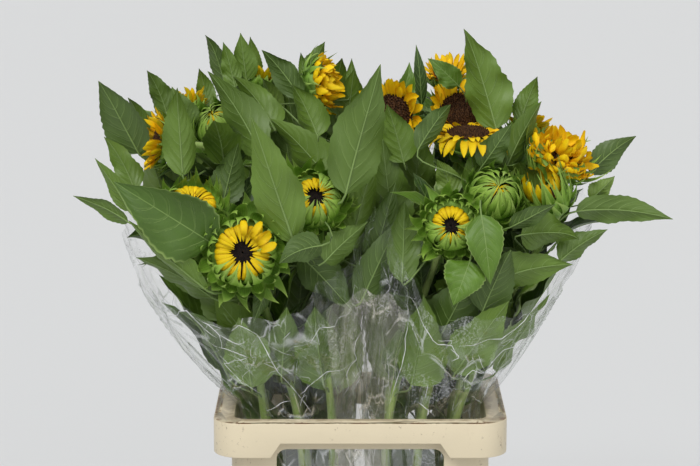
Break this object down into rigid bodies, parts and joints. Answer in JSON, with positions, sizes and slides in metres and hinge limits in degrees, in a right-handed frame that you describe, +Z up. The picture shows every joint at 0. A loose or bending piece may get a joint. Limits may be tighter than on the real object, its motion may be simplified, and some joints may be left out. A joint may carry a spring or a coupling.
{
  "type": "container of cut sunflowers",
  "caption": "Leafy cut sunflowers with half-open and open heads in clear film sleeves, standing in a rectangular plastic tub with a windowed collar.",
  "frame": {"origin": "centre of the tub's flat underside, on the surface that the container stands on", "axes": "+Z up, +X to the right as the picture shows it, +Y away from the camera, to the back of the bunches"},
  "size_m": [0.83, 0.4127, 0.958],
  "materials": {
    "plastic": "cream moulded plastic, satin, scuffed",
    "film": "clear creased film",
    "stems": "pale green hairy stem",
    "leaves": "soft green leaf with pale veins",
    "green_heads": "green bracts round yellow petals",
    "open_flowers": "yellow petals round a dark brown disc"
  },
  "bodies": {
    "root": {"tub": "plastic", "collar": "plastic", "sleeve_left": "film", "sleeve_foot_left": "film", "sleeve_right": "film", "sleeve_foot_right": "film", "stem_left_1": "stems", "leaves_left_1": "leaves", "head_left_1": "green_heads", "stem_left_2": "stems", "leaves_left_2": "leaves", "head_left_2": "green_heads", "stem_left_3": "stems", "leaves_left_3": "leaves", "head_left_3": "green_heads", "stem_left_4": "stems", "leaves_left_4": "leaves", "head_left_4": "open_flowers", "stem_left_5": "stems", "leaves_left_5": "leaves", "head_left_5": "open_flowers", "stem_left_6": "stems", "leaves_left_6": "leaves", "head_left_6": "open_flowers", "stem_left_7": "stems", "leaves_left_7": "leaves", "head_left_7": "open_flowers", "stem_left_8": "stems", "leaves_left_8": "leaves", "head_left_8": "green_heads", "stem_left_9": "stems", "leaves_left_9": "leaves", "head_left_9": "open_flowers", "stem_right_1": "stems", "leaves_right_1": "leaves", "head_right_1": "green_heads", "stem_right_2": "stems", "leaves_right_2": "leaves", "head_right_2": "green_heads", "stem_right_3": "stems", "leaves_right_3": "leaves", "head_right_3": "open_flowers", "stem_right_4": "stems", "leaves_right_4": "leaves", "head_right_4": "open_flowers", "stem_right_5": "stems", "leaves_right_5": "leaves", "head_right_5": "open_flowers", "stem_right_6": "stems", "leaves_right_6": "leaves", "head_right_6": "open_flowers", "stem_right_7": "stems", "leaves_right_7": "leaves", "head_right_7": "open_flowers", "stem_right_8": "stems", "leaves_right_8": "leaves", "head_right_8": "open_flowers", "stem_right_9": "stems", "leaves_right_9": "leaves", "head_right_9": "open_flowers"}
  },
  "joints": []
}
